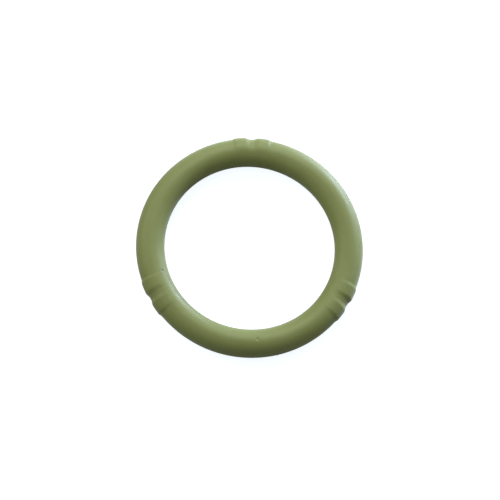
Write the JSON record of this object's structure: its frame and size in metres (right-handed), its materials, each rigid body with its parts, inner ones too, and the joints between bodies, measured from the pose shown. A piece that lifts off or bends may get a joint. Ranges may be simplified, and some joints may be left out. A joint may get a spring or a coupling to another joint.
{
  "type": "sealing ring",
  "caption": "Round-cord rubber sealing ring for a press-fit pipe coupling, with padded and grooved leak-indicating stations round its outer half.",
  "frame": {"origin": "the ring's centre, on its mid-plane", "axes": "+Z along the ring's axis; +Y from the centre towards the first leak-indicating station"},
  "size_m": [0.02, 0.0201, 0.0026],
  "materials": {
    "ring_rubber": "satin"
  },
  "bodies": {
    "root": {"sealing_ring": "ring_rubber"}
  },
  "joints": []
}
